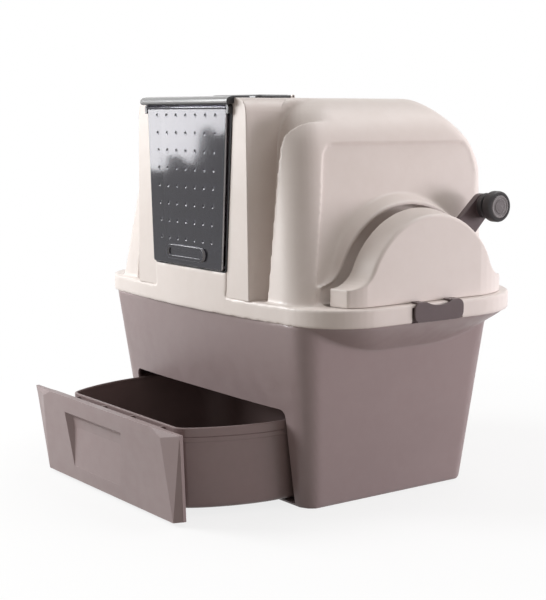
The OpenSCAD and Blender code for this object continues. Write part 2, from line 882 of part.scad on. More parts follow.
module lever_screw() {
    color(steel) at_axle() {
        rod_x(14, arm_x[1] + 0.1, arm_x[1] + 1.3);
        rod_x(5, arm_x[1] + 1.3, arm_x[1] + 4.3);
        rod_x(1.9, 261, arm_x[1] + 1);
    }
}

// Turned hand grip: two soft rings on a sleeve
module lever_grip() {
    x0 = arm_x[1] + 4.2;
    color(black) at_lever() translate([x0, lever_r, 0]) rotate([0, 90, 0]) difference() {
        rotate_extrude() polygon([
            [8.06, 0], [18.5, 0], [20, 1.5], [20, 8], [18.5, 9.5], [16.5, 10.2], [16.5, 14.5],
            [21.5, 15.2], [23.5, 17], [24, 19.5], [24, 28.5], [23, 31], [20.5, 32.5], [18.2, 32.5],
            [18.2, 27.5], [8.06, 27.5]]);
    }
}

grip_end = arm_x[1] + 4.2 + 27.6;
module grip_cap() {
    color([0.55, 0.54, 0.55]) at_lever() translate([grip_end, lever_r, 0]) rotate([0, 90, 0]) difference() {
        rotate_extrude() polygon([
            [11, 0], [18, 0], [18, 4], [17, 5], [14.5, 5], [13.8, 4.2], [12.8, 4.2], [12.2, 4.8],
            [11, 4.8]]);
    }
}

module grip_plug() {
    color([0.68, 0.67, 0.68]) at_lever() translate([grip_end, lever_r, 0]) rotate([0, 90, 0])
        rotate_extrude() polygon([[0, 0.4], [10.8, 0.4], [10.8, 4.6], [10, 5.4], [0, 5.4]]);
}

base_tub();
bearing(-1);  // bearing_left
bearing(1);  // bearing_right
latch_pins();
mirror([1, 0, 0]) latch();  // latch_left
latch();  // latch_right
hood();
lever_cover();
cover_screws();
door_frame();
entry_door();
filter_cover();
carbon_filter();
waste_bin();
liner_frame();
drawer_front();
litter_pan();
sifting_grid();
grid_screws();
pan_hub();
drive_shaft();
shaft_clip();
lever_arm();
lever_screw();
lever_grip();
grip_cap();
grip_plug();
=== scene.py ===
import json
import math
from math import radians as rad

import bmesh
import bpy
from mathutils import Matrix, Vector


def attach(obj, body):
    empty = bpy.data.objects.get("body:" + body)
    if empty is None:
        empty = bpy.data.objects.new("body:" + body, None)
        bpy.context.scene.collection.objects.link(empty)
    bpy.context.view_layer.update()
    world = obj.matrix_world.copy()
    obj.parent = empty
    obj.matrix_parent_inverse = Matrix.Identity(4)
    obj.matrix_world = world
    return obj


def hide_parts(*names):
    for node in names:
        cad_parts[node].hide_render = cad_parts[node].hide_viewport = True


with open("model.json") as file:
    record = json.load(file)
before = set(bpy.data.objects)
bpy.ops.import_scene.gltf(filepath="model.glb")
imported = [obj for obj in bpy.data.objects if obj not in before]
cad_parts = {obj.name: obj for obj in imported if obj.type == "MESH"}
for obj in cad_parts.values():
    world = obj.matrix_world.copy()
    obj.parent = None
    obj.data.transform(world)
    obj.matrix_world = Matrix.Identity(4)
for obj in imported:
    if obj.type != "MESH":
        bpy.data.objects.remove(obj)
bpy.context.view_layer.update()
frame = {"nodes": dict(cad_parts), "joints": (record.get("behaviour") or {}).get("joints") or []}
cad = frame["nodes"]
scene = bpy.context.scene

MM = 0.001
SIDES = (-1, 1)  # 1 is the lever's side


def pivot(joint):
    """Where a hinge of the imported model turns, in millimetres."""
    place = next(j for j in frame["joints"] if j["name"] == joint)["pos_m"]
    return [round(v / MM, 1) for v in place]


# Driving dimensions, in millimetres and degrees.
_, AXLE_Y, AXLE_Z = pivot("lever_turn")  # the pan's axle, across the box
_, DOOR_Y, DOOR_Z = pivot("door_swing")  # the door's stubs, across the box
_, LID_Y, LID_Z = pivot("filter_lid_hinge")  # the filter lid's pin, across the box
LATCH_X, _, LATCH_Z = pivot("latch_right_pivot")  # a latch's pin, from front to rear
LATCH_FRONT, LATCH_REAR = -63, 39  # ends of a latch's window
RIM_Z, RIM_TOP, ROOF_Z = 281.5, 309.5, 610  # belt's underside and top, and the roof
BELT_HALF, BELT_FRONT, BELT_REAR = 332, 224, 226  # the belt's reach from the middle
BELT_FRONT_R, BELT_REAR_R, BELT_BOW = 99, 153, 15  # its corners, and the bow of its front edge
HOOD_WALL, BASE_WALL = 3, 3.5
PANEL_X, PANEL_Z, PANEL_LEAN = 253, 345, -9.48  # plane of the sunk side panels
SCOOP = 32  # depth of the scoop behind the side ridges
ARCH_Y, ARCH_HALF, ARCH_TOP_HALF = -234, 160, 153  # face of the door's arch
DOORWAY = (103, 121, 346, 601)  # half width below and above, lower and upper end
FRAME_OUTSIDE, FRAME_INSIDE = (102.6, 120.6, 346.4, 600.6), (100.2, 114.4, 347.9, 599)  # likewise
FLAP, FLAP_Y = (98.6, 112.8, 349.6, 597.9), -241  # the clear door, likewise, and its face
PULL_Z = 369  # height of the door's pull
FILTER_HALF, FILTER_FRONT, FILTER_REAR = 64, -144, -92  # the filter's well in the roof
BELL_FOOT, BELL_FILLET = 26.5, 45  # where the fender and the lever cover run out into the belt
COVER_FOOT = 309.6  # underside of the lever cover
SCREW_X, SCREW_YS = 297, (-126, -66, 42, 102)  # places of its screws
GATE = (214, 214, 4, 150)  # opening for the drawer, given as the doorway is
BIN_FOOT, BIN_RIM = 10, 131  # underside and rim of the waste bin
BIN_SIDE_R, BIN_CORNER_R, BIN_SWEEP = 250, 22, rad(34)
LEVER_DEG, LEVER_R = 43.3, 195  # resting angle, and the reach from the axle to the grip
GRIP_X = 277.7  # inner end of the grip
CAP_X = GRIP_X + 27.6  # seat of its cap


# ------------ drawing tools

def face_through(bm, points, radii, steps):
    """One flat face whose corners are rounded, each by its own radius."""
    before = set(bm.faces)
    corners = [bm.verts.new(p) for p in points]
    bm.faces.new(corners)
    for corner, radius in zip(corners, radii):
        if not radius:
            continue
        arms = [e.other_vert(corner).co - corner.co for e in corner.link_edges]
        bmesh.ops.bevel(bm, geom=[corner], offset=radius / math.tan(arms[0].angle(arms[1]) / 2),
                        offset_type="OFFSET", segments=steps, profile=0.5,
                        affect="VERTICES", material=-1)
    return (set(bm.faces) - before).pop()


def verts_in(geometry):
    return [g for g in geometry if isinstance(g, bmesh.types.BMVert)]


def slab(bm, points, way, radii, steps):
    """Flat outline with rounded corners, made thick along way."""
    face = face_through(bm, points, radii, steps)
    made = bmesh.ops.extrude_face_region(bm, geom=[face])["geom"]
    bmesh.ops.translate(bm, vec=way, verts=verts_in(made))


def front_slab(bm, y, depth, outline, radii=(), steps=8):
    """Slab that faces the front; its outline is (x, z) pairs."""
    slab(bm, [(x, y, z) for x, z in outline], (0, depth, 0), radii, steps)


def side_slab(bm, x, width, outline, radii, steps=8):
    """Slab that faces the side; its outline is (y, z) pairs."""
    slab(bm, [(x, y, z) for y, z in outline], (width, 0, 0), radii, steps)


def flared(low_half, top_half, low, top):
    """Outline of (x, z) pairs with its own half width at the low and at the top end."""
    return (-low_half, low), (low_half, low), (top_half, top), (-top_half, top)


def skin(bm, decks):
    """Closed form through a stack of flat outlines."""
    loops = [list(d.edges) for d in decks]
    bmesh.ops.delete(bm, geom=decks[1:-1], context="FACES_ONLY")
    for below, above in zip(loops, loops[1:]):
        bmesh.ops.bridge_loops(bm, edges=below + above)


def deck(bm, z, half, front, rear, front_r, rear_r, bow=0, steps=10):
    """Rounded outline seen from above; its front edge bows out."""
    face = face_through(bm, [(-half, -front, z), (half, -front, z), (half, rear, z), (-half, rear, z)],
                        (front_r, front_r, rear_r, rear_r), steps)
    if bow:
        nose = max((e for e in face.edges if all(v.co.y < 0.1 - front for v in e.verts)),
                   key=lambda e: e.calc_length())
        bmesh.ops.subdivide_edges(bm, edges=[nose], cuts=9)
        for v in face.verts:
            reach = abs(v.co.x) / (half - front_r)
            if v.co.y < 0 and reach < 1:
                v.co.y -= bow * (1 - reach * reach)
    return face


def block(bm, low, high):
    """Plain block between two corners."""
    low, high = Vector(low), Vector(high)
    made = bmesh.ops.create_cube(bm, size=1)["verts"]
    bmesh.ops.scale(bm, vec=high - low, verts=made)
    bmesh.ops.translate(bm, vec=(low + high) / 2, verts=made)
    return made


def rod(bm, radius, start, end, sides=48):
    """Round bar from start to end."""
    start, end = Vector(start), Vector(end)
    turn = (end - start).to_track_quat("Z", "Y").to_matrix().to_4x4()
    bmesh.ops.create_cone(bm, cap_ends=True, segments=sides, radius1=radius, radius2=radius,
                          depth=(end - start).length, matrix=Matrix.Translation((start + end) / 2) @ turn)


def turned(bm, outline, x):
    """Spins an outline of (radius, along) pairs round the grip's axis, from x outwards."""
    at = (x, AXLE_Y + LEVER_R, AXLE_Z)
    verts = [bm.verts.new((x + along, at[1], at[2] + radius)) for radius, along in outline]
    ring = [bm.edges.new(pair) for pair in zip(verts, verts[1:] + verts[:1])]
    bmesh.ops.spin(bm, geom=verts + ring, cent=at, axis=(1, 0, 0), angle=rad(360), steps=72, use_merge=True)


def hull(bm, *blocks):
    """Convex form around several blocks given by their corners."""
    made = [v for low, high in blocks for v in block(bm, low, high)]
    bmesh.ops.delete(bm, geom=list({e for v in made for e in v.link_edges}), context="EDGES_FACES")
    got = bmesh.ops.convex_hull(bm, input=made)
    spare = set(verts_in(got["geom_interior"] + got["geom_unused"]))
    bmesh.ops.delete(bm, geom=list(spare), context="VERTS")


def solid(name, draw, *args):
    """Makes an object from what draw() puts in an empty bmesh."""
    bm = bmesh.new()
    draw(bm, *args)
    bmesh.ops.remove_doubles(bm, verts=bm.verts, dist=0.001)
    bmesh.ops.recalc_face_normals(bm, faces=bm.faces)
    bmesh.ops.scale(bm, vec=(MM, MM, MM), verts=bm.verts)
    return object_from(bm, name)


def object_from(bm, name):
    """Puts a bmesh in the scene as an object."""
    mesh = bpy.data.meshes.new(name)
    bm.to_mesh(mesh)
    bm.free()
    obj = bpy.data.objects.new(name, mesh)
    scene.collection.objects.link(obj)
    return obj


def span(side, near, far):
    """Lower and upper x of a stretch on one side of the box, 1 for the lever's side and -1 for the other."""
    return sorted((side * near, side * far))


def side_block(name, side, xs, ys, zs):
    """Block on one side of the box."""
    low, high = span(side, *xs)
    return solid(name, block, (low, ys[0], zs[0]), (high, ys[1], zs[1]))


def cross_rod(name, radius, half, y, z, sides=24):
    """Round bar across the box, as far to one side as to the other."""
    return solid(name, rod, radius, (-half, y, z), (half, y, z), sides)


def vents(last, pitch, half, ys, zs):
    """Cutters for a row of slots across the box, with last of them on each side of the middle one."""
    return [solid("vent", block, (i * pitch - half, ys[0], zs[0]), (i * pitch + half, ys[1], zs[1]))
            for i in range(-last, last + 1)]


def settle(obj):
    """Turns the live modifiers of a piece into its mesh."""
    graph = bpy.context.evaluated_depsgraph_get()
    graph.update()
    made = bpy.data.meshes.new_from_object(obj.evaluated_get(graph))
    old = obj.data
    obj.modifiers.clear()
    obj.data = made
    bpy.data.meshes.remove(old)
    return obj


def cut(obj, *tools, how="DIFFERENCE", solver="MANIFOLD"):
    """Takes tools off a piece, or joins or crosses it with them; each tool is used up."""
    for tool in tools:
        step = obj.modifiers.new("cut", "BOOLEAN")
        step.operation, step.object, step.solver = how, tool, solver
        settle(obj)
        bpy.data.objects.remove(tool)
    return obj


def add(obj, *tools, solver="MANIFOLD"):
    return cut(obj, *tools, how="UNION", solver=solver)


def mirrored(obj):
    """A copy of a piece or tool on the other side of the box."""
    bm = bmesh.new()
    bm.from_mesh(obj.data)
    bmesh.ops.scale(bm, vec=(-1, 1, 1), verts=bm.verts)
    bmesh.ops.reverse_faces(bm, faces=bm.faces)
    return object_from(bm, obj.name + "_far")


def melt(obj, voxel, rounds, keep):
    """Runs sharp joins together into the soft radii of a moulding."""
    even = obj.modifiers.new("even", "REMESH")
    even.mode, even.voxel_size = "VOXEL", voxel * MM
    relax = obj.modifiers.new("relax", "SMOOTH")
    relax.factor, relax.iterations = 0.5, rounds
    thin = obj.modifiers.new("thin", "DECIMATE")
    thin.ratio = keep
    return settle(obj)


def edge_radius(obj, width, angle=28, segments=3):
    """Joins flat faces again and rounds the sharp edges."""
    bm = bmesh.new()
    bm.from_mesh(obj.data)
    bmesh.ops.dissolve_limit(bm, angle_limit=rad(0.6), use_dissolve_boundaries=False,
                             verts=bm.verts, edges=bm.edges)
    bm.to_mesh(obj.data)
    bm.free()
    step = obj.modifiers.new("edges", "BEVEL")
    step.width, step.segments, step.profile = width * MM, segments, 0.5
    step.limit_method, step.angle_limit = "ANGLE", rad(angle)
    step.use_clamp_overlap, step.miter_outer = True, "MITER_ARC"
    return settle(obj)


# ------------ hood

def belt(bm, inset, z0, z1):
    """The belt round the rim, or what lies within it, between two heights."""
    skin(bm, [deck(bm, z, BELT_HALF - inset, BELT_FRONT - inset, BELT_REAR - inset,
                   BELT_FRONT_R - inset, BELT_REAR_R - inset, BELT_BOW, 14) for z in (z0, z1)])


def cabin_deck(bm, z, at, inset, setback):
    """The hood's outline at height z, drawn at height at; it draws in towards the roof."""
    def near_roof(start):
        return max(0, (z - start) / (ROOF_Z - start))

    crown, nose, tail = min(1, near_roof(535)), near_roof(545), near_roof(495)
    rise = z - RIM_TOP
    half = 264 - 0.185 * (z - 330) - 72 * (1 - math.sqrt(1 - crown * crown))
    front = 220 - 0.095 * rise - 31 * nose * nose - setback * (1 - z / 1800)
    rear = 212 - 0.062 * rise - 85 * tail ** 1.5
    rear_r = max(45, 130 - 0.36 * rise)
    return deck(bm, at, half - inset, front - inset, rear - inset, 50 - inset, rear_r - inset)


def cabin(bm, inset, foot, setback=0):
    """The hood's plain form, from foot up to its roof."""
    heights = [RIM_TOP, 345, 400, 455, *range(490, 600, 6), 602, 605, 607.5, 609.2, ROOF_Z]
    drop = inset / (ROOF_Z - RIM_TOP)
    skin(bm, [cabin_deck(bm, RIM_TOP, foot, inset, setback)]
         + [cabin_deck(bm, z, z - drop * (z - RIM_TOP), inset, setback) for z in heights])


def side_pocket(bm, grow):
    """Cutter for the sunk side panel: its walls lean out from the panel's edge."""
    lean = Matrix.Translation((PANEL_X, 0, PANEL_Z)) @ Matrix.Rotation(rad(PANEL_LEAN), 4, "Y")
    low = RIM_TOP - PANEL_Z - 5 * grow - 0.4

    def panel(depth, front, top, rear):
        outline = [(-189 - 0.3 * front, low), (176 + rear, low), (166 + rear, 130), (150 + rear, 200 + top),
                   (-143 - front, 200 + top), (-152 - front, 150)]
        outline = [(y + math.copysign(grow, y), z + (grow if z > 0 else 0)) for y, z in outline]
        return face_through(bm, [lean @ Vector((depth - grow, y, z)) for y, z in outline],
                            (0, 0, 22, 24, 24, 22), 6)

    skin(bm, [panel(0, 0, 0, 0), panel(60, 30, 11, 7)])


def groove(bm, grow):
    """Cutter for the channel beside the door arch and for all above the ridge's round top."""
    left, ridge, top, low = 153 - grow, 187 + grow, 584 - grow, RIM_TOP - 5 * grow
    outline = ((left, low), (ridge, low), (ridge, top), (353, top), (353, 700), (left, 700))
    front_slab(bm, -300, 200 + grow, outline, (0, 0, 46 - grow, 0, 0, 0), 14)


def cabin_body(name, inset, foot):
    """The hood without its arch and belt: ridges in front, the scoop behind them, the side panels."""
    body = solid(name, cabin, inset, foot)
    channel = solid("channel", groove, inset)
    pocket = solid("pocket", side_pocket, inset)
    cut(body, mirrored(channel), channel)
    add(body, solid("scoop", cabin, inset, foot, SCOOP))
    return cut(body, mirrored(pocket), pocket)


def arch(name, inset, back, foot):
    """The arch round the door, from its face to back, without what is below foot."""
    outline = flared(ARCH_HALF - inset, ARCH_TOP_HALF - inset, RIM_Z - (10 if inset else 0),
                     ROOF_Z - 0.3 - inset)
    body = solid(name, front_slab, ARCH_Y + inset, back - ARCH_Y - inset, outline,
                 (0, 0, 22 - inset, 22 - inset))
    return cut(body, solid("trim", block, (-400, -400, 200), (400, 400, foot)))


def bell_face(bm, x, radius, foot, low):
    """Half round over the axle that runs out into the belt on both sides."""
    tilt = math.asin((foot + BELL_FILLET) / (radius + BELL_FILLET))
    wide = (radius + BELL_FILLET) * math.cos(tilt)
    ease = -(90 - math.degrees(tilt))
    arcs = ((wide, foot + BELL_FILLET, ease, 7), (0, 0, 180 - 2 * math.degrees(tilt), 44),
            (-wide, foot + BELL_FILLET, ease, 7))
    centre = Vector((x, AXLE_Y, AXLE_Z))
    first = bm.verts.new(centre + Vector((0, wide, low)))
    tip = bm.verts.new(centre + Vector((0, wide, foot)))
    bm.edges.new((first, tip))
    for y, z, turn, steps in arcs:
        got = bmesh.ops.spin(bm, geom=[tip], cent=centre + Vector((0, y, z)), axis=(1, 0, 0),
                             angle=rad(turn), steps=steps)
        tip = verts_in(got["geom_last"])[0]
    last = bm.verts.new(centre + Vector((0, -wide, low)))
    bm.edges.new((tip, last))
    loop = [first]
    while loop[-1] is not last:
        ahead = (e.other_vert(loop[-1]) for e in loop[-1].link_edges)
        loop.append(next(v for v in ahead if v not in loop[-2:]))
    return bm.faces.new(loop)


def fender(bm, low, *radii):
    """Form through three bells, from inside the hood out to the lever."""
    skin(bm, [bell_face(bm, x, r, BELL_FOOT, low) for x, r in zip((200, 230, 260), radii)])


def lever_fender():
    """The fender over the lever slot, kept within the belt."""
    body = solid("fender", fender, -4, 158, 158, 145.5)
    cut(body, solid("under", fender, -30, 139.5, 139.5, 139.5))
    return cut(body, solid("within", belt, 8, 300, 560), how="INTERSECT")


def door_sill():
    """The rise of the belt under the door."""
    body = solid("sill", belt, 0, RIM_Z + 2, 348)
    return cut(body, solid("sides", front_slab, -260, 34, flared(98, 102.5, 270, 348)), how="INTERSECT")


def filter_block(name, grow, z0, z1):
    """Block over the filter's place in the roof."""
    return solid(name, block, (-FILTER_HALF - grow, FILTER_FRONT - grow, z0),
                 (FILTER_HALF + grow, FILTER_REAR + grow, z1))


def filter_tray():
    """Slotted tray for the filter, which hangs under the roof."""
    tray = filter_block("tray", 2.5, 595, ROOF_Z - 0.2)
    return cut(tray, filter_block("well", 0, 597.5, 620), *vents(4, 13, 3, (-136, -100), (590, 600)))


def lid_lug(side):
    """Lug on the roof that holds one end of the lid's pin."""
    x0, x1 = side * 71.3 - 1.7, side * 71.3 + 1.7
    return solid("lug", hull, ((x0, LID_Y - 4, 608), (x1, LID_Y + 4, 609)),
                 ((x0, LID_Y - 2, 613.4), (x1, LID_Y + 2, 615.6)))


def hood_shell():
    """The hood: its melted outside with the crisp arch, hollowed out, cut open, with the filter's tray."""
    body = cabin_body("hood_shell", 0, 300)
    add(body, lever_fender(), solid("belt", belt, 0, RIM_Z, RIM_TOP), door_sill())
    melt(body, 2.4, 5, 0.42)
    add(body, edge_radius(arch("front", 0, -140, RIM_TOP - 1), 1.6))

    room = cabin_body("room", HOOD_WALL, 299.5)
    add(room, arch("porch", HOOD_WALL, -130, RIM_TOP - 2),
        solid("skirt", belt, HOOD_WALL, RIM_Z - 4, RIM_TOP - HOOD_WALL))
    cut(body, room, solid("doorway", front_slab, ARCH_Y - 20, 40, flared(*DOORWAY), (6,) * 4),
        filter_block("filter_hole", 0, 580, 620),
        solid("slot", block, (260, -174, 301.5), (277, 156, 349.5)),
        solid("hub_room", rod, 31, (259.9, AXLE_Y, AXLE_Z), (300, AXLE_Y, AXLE_Z)),
        solid("hub_drop", block, (260, AXLE_Y - 31, 270), (300, AXLE_Y + 31, AXLE_Z)),
        solid("shaft_hole", rod, 16, (230, AXLE_Y, AXLE_Z), (261, AXLE_Y, AXLE_Z)),
        solid("shaft_drop", block, (230, AXLE_Y - 16, 250), (261, AXLE_Y + 16, AXLE_Z)),
        *[side_block("latch_window", s, (318, 342), (LATCH_FRONT, LATCH_REAR), (275, 305)) for s in (1, -1)])
    add(body, filter_tray(), *[lid_lug(s) for s in SIDES])
    return cut(body, *[solid("pin_hole", rod, 1.56, (s * 68, LID_Y, LID_Z), (s * 75, LID_Y, LID_Z), 16)
                       for s in SIDES])


# ------------ base

def base_body(bm, inset, z0, z1):
    """The tub, which leans out from its foot to the rim."""
    lean = (z1 - RIM_Z) / RIM_Z
    skin(bm, [deck(bm, z0, 245 - inset, 187 - inset, 135 - inset, 25 - inset, 25 - inset),
              deck(bm, z1, 276 + 31 * lean - inset, 222 + 35 * lean - inset, 166 + 31 * lean - inset,
                   34 - inset, 34 - inset, 12)])


def base_flare(bm, inset, lift):
    """Crescent under the rim that swells out to just inside the belt."""
    step, swell, tall, rows = 4.7, 54, 45.5, 8

    def row(t, z):
        d = step + swell * t ** 1.15 + inset
        return deck(bm, z, BELT_HALF - d, BELT_FRONT - d, BELT_REAR - d,
                    BELT_FRONT_R - step - inset, BELT_REAR_R - step - inset, BELT_BOW)

    skin(bm, [row(i / rows, RIM_Z - tall * i / rows + lift) for i in range(rows, -1, -1)]
         + [row(0, 302 + 2 * lift)])


def bearing_tower(side):
    """Stand inside the base with a saddle for the bush of the axle."""
    tower = side_block("tower", side, (238.5, 249), (AXLE_Y - 32, AXLE_Y + 32), (180, 315))
    add(tower, side_block("foot", side, (238.5, 262), (AXLE_Y - 32, AXLE_Y + 32), (180, 230)))
    return cut(tower, solid("saddle", rod, 17.02, (side * 230, AXLE_Y, AXLE_Z), (side * 320, AXLE_Y, AXLE_Z)),
               side_block("saddle_top", side, (230, 320), (AXLE_Y - 17.02, AXLE_Y + 17.02), (AXLE_Z, 350)))


def latch_ear(side, y):
    """Ear on the rim that holds a latch's pin."""
    x = side * LATCH_X
    ear = side_block("ear", side, (320, LATCH_X), (y, y + 5), (LATCH_Z - 4, LATCH_Z + 4))
    add(ear, solid("end", rod, 4, (x, y, LATCH_Z), (x, y + 5, LATCH_Z), 24))
    return cut(ear, solid("hole", rod, 2, (x, y - 1, LATCH_Z), (x, y + 6, LATCH_Z), 24))


def base_shell():
    """The base: its melted outside, hollowed out, with the stands, rails and ears inside."""
    body = solid("base_shell", base_body, 0, 0, RIM_Z)
    add(body, solid("flare", base_flare, 0, 0))
    melt(body, 3, 5, 0.4)
    room = solid("room", base_body, BASE_WALL, 4, 307)
    add(room, solid("flare_room", base_flare, BASE_WALL, 3))
    for s in SIDES:
        cut(room, side_block("thick", s, (313, 330), (LATCH_FRONT - 4, LATCH_REAR + 4), (262, 330)))
    cut(body, room)
    for s in SIDES:
        cut(body, side_block("latch_room", s, (321, 340), (LATCH_FRONT, LATCH_REAR), (280.8, 330)))
        add(body, bearing_tower(s), side_block("rail", s, (147, 153), (-170, 120), (3.9, 9.8)),
            latch_ear(s, -34), latch_ear(s, 10))
    return cut(body, solid("gate", front_slab, -260, 120, flared(*GATE), (0, 0, 12, 12)))


# ------------ lever cover

def cover_form(bm, shrink, low):
    """Half-round housing; the outer bells shrink to round its edge."""
    stops = ((277 + shrink, 137), (305, 131.4), (314 - shrink, 129.5), (317 - shrink, 127.5),
             (318 - shrink, 125))
    skin(bm, [bell_face(bm, x, r - shrink, BELL_FOOT - shrink, low - AXLE_Z) for x, r in stops])


def lever_cover_shell():
    body = solid("lever_cover_shell", cover_form, 0, COVER_FOOT)
    cut(body, solid("plan", belt, 13, 300, 520), how="INTERSECT")
    melt(body, 1.5, 4, 0.4)
    cut(body, solid("foot_cut", block, (200, -300, 290), (400, 300, COVER_FOOT)))
    room = solid("room", cover_form, 2.5, 303.5)
    cut(room, solid("plan", belt, 15.5, 290, 520), how="INTERSECT")
    for y in SCREW_YS:
        boss = solid("boss", rod, 5.5, (SCREW_X, y, 300), (SCREW_X, y, 318.5), 32)
        add(boss, solid("web", block, (SCREW_X, y - 5, 300), (340, y + 5, 318.5)))
        cut(room, boss)
    return cut(body, room, solid("hub_notch", rod, 20, (270, AXLE_Y, AXLE_Z), (280.5, AXLE_Y, AXLE_Z)),
               *[solid("screw_hole", rod, 1.6, (SCREW_X, y, 300), (SCREW_X, y, 316), 16)
                 for y in SCREW_YS])


# ------------ thumb latches

def latch_plate(name):
    """Thumb latch on the lever's side: plate, hooks over the rim and barrels round the pin."""
    front, rear, low, top = LATCH_FRONT + 2, LATCH_REAR - 2, 282.5, 312.5
    outline = ((front, low), (rear, low), (rear, top), (front, top))
    plate = solid(name, side_slab, 332.5, 4, outline, (11,) * 4)
    cut(plate, solid("thumb_dip", rod, 60, (330, -11, 366), (340, -11, 366), 160))
    edge_radius(plate, 1.2)
    for y0, y1 in ((10, 30), (-54, -40)):
        add(plate, solid("hook", block, (319.5, y0, 310.1), (333.5, y1, 312.3)))
    for y, long in ((-44.5, 10), (-28.5, 38), (15.5, 10)):
        add(plate, solid("barrel", rod, 4.2, (LATCH_X, y, LATCH_Z), (LATCH_X, y + long, LATCH_Z), 32),
            solid("web", block, (LATCH_X, y, LATCH_Z - 4.2), (333.5, y + long, LATCH_Z + 4.2)))
    return cut(plate, solid("pin_way", rod, 2.06, (LATCH_X, -80, LATCH_Z), (LATCH_X, 60, LATCH_Z), 24))


def far_latch_plate(name):
    """The same latch on the other side."""
    near = latch_plate("latch_left")
    far = mirrored(near)
    bpy.data.objects.remove(near)
    far.name = name
    return far


# ------------ door

def door_ring(name, y, depth):
    """Frame of the doorway's shape."""
    ring = solid(name, front_slab, y, depth, flared(*FRAME_OUTSIDE), (6,) * 4)
    return cut(ring, solid("opening", front_slab, y - 5, depth + 10, flared(*FRAME_INSIDE), (3,) * 4),
               solver="EXACT")


def visor_form(bm):
    """Curved lip over the door with closed, pointed ends."""
    outline = ((-247.6, 601.8), (-244.2, 599.8), (-238.5, 601.2), (-234.2, 602.4), (-234.2, 610.3),
               (-206, 610.3), (-206, 612.2), (-236, 612.6), (-243.5, 611.2), (-247.3, 608.2), (-248.4, 604.6))
    side_slab(bm, -124, 248, outline, (0, 0, 0, 0, 0, 0, 0.8, 4, 3, 3, 1.5), 3)


def snap_tab(side, z):
    """Block behind the frame that holds it in the doorway."""
    low_half, top_half, low, top = DOORWAY
    x = side * (low_half + (top_half - low_half) * (z - low) / (top - low))
    return solid("tab", block, (x - 4, -230.8, z), (x + 4, -228, z + 22))


def door_frame_piece():
    ring = door_ring("door_surround", -236, 22)
    ears = door_ring("hinge_ears", -242, 20)
    cut(ears, solid("below", block, (-140, -260, 300), (140, -200, 586)), solver="EXACT")
    edge_radius(ring, 0.7)
    add(ring, edge_radius(ears, 0.8), solver="EXACT")
    add(ring, *[snap_tab(s, z) for s in SIDES for z in (400, 540)], solver="EXACT")
    visor = edge_radius(solid("visor", visor_form), 0.7)
    cut(ring, solid("above", block, (-140, -260, 600.6), (140, -200, 620)), solver="EXACT")
    add(ring, visor, solver="EXACT")
    return cut(ring, *[solid("stub_hole", rod, 2.56, (s * 100, DOOR_Y, DOOR_Z), (s * 118, DOOR_Y, DOOR_Z), 24)
                       for s in SIDES], solver="EXACT")


def stadium(bm, long, tall, y, depth):
    """Slab with round ends at the height of the door's pull."""
    outline = flared(long / 2, long / 2, PULL_Z - tall / 2, PULL_Z + tall / 2)
    front_slab(bm, y, depth, outline, (tall / 2 - 0.01,) * 4, 10)


def dimples(bm):
    """Cutter for eight rows of shallow dimples that spread a little to the top."""
    for row in range(8):
        for col in range(-3, 4):
            at = Matrix.Translation((col * (24 + 0.55 * row), -250.4, 391 + 27.5 * row))
            bmesh.ops.create_uvsphere(bm, u_segments=24, v_segments=44, radius=10,
                                      matrix=at @ Matrix.Rotation(rad(90), 4, "X"))


def door_flap():
    flap = solid("door_flap", front_slab, FLAP_Y, 3, flared(*FLAP), (4,) * 4)
    edge_radius(flap, 0.8)
    pull = solid("pull", stadium, 108, 22, -245.5, 5)
    edge_radius(pull, 1.5)
    cut(pull, solid("pull_well", stadium, 98, 12.4, -250, 7.4))
    add(flap, pull, cross_rod("roll", 3.1, 112.8, DOOR_Y, DOOR_Z),
        cross_rod("stubs", 2.5, 117.4, DOOR_Y, DOOR_Z))
    return cut(flap, solid("dimples", dimples))


# ------------ filter lid

def lid_form(bm):
    """Low lid with a rounded upper edge; rows of (height, inset)."""
    rows = ((610.4, 0.3), (610.8, 0), (613.4, 0), (614.5, 0.9), (615.3, 2.6), (615.8, 5))
    skin(bm, [deck(bm, z, 69 - i, 150 - i, LID_Y - i, 10 - i / 2, 2) for z, i in rows])


def filter_lid():
    lid = solid("filter_lid", lid_form)
    cut(lid, solid("under", block, (-66, -147, 605), (66, -94, 612.8)),
        *vents(6, 8, 2, (-138, -102), (605, 625)))
    add(lid, cross_rod("barrel", 2.5, 68.5, LID_Y, LID_Z), cross_rod("pin", 1.5, 73, LID_Y, LID_Z, 16))
    return edge_radius(lid, 0.5, 40, 2)


# ------------ drawer

def bin_deck(bm, z, inset):
    """Outline with small front corners and sides that sweep in towards them on a wide radius."""
    t = (z - BIN_FOOT) / (BIN_RIM - BIN_FOOT)
    half, front, rear, rear_r = 204 + 5 * t, 353 + 9 * t, -42 + 6 * t, 48 + 2 * t
    knee = (front - BIN_CORNER_R - (BIN_SIDE_R - BIN_CORNER_R) * math.sin(BIN_SWEEP)
            + (BIN_SIDE_R - inset) * math.tan(BIN_SWEEP / 2))
    half, front, rear = half - inset, front - inset, rear - inset
    toe = half - (front - knee) * math.tan(BIN_SWEEP)
    front_r, side_r, rear_r = BIN_CORNER_R - inset - 0.1, BIN_SIDE_R - inset - 0.5, rear_r - inset
    return face_through(bm, [(-toe, -front, z), (toe, -front, z), (half, -knee, z), (half, rear, z),
                             (-half, rear, z), (-half, -knee, z)],
                        (front_r, front_r, side_r, rear_r, rear_r, side_r), 12)


def bin_form(bm, rows, inset):
    """Form of the waste bin, which widens a little to the top; rows of (height, extra inset)."""
    skin(bm, [bin_deck(bm, z, inset + tuck) for z, tuck in rows])


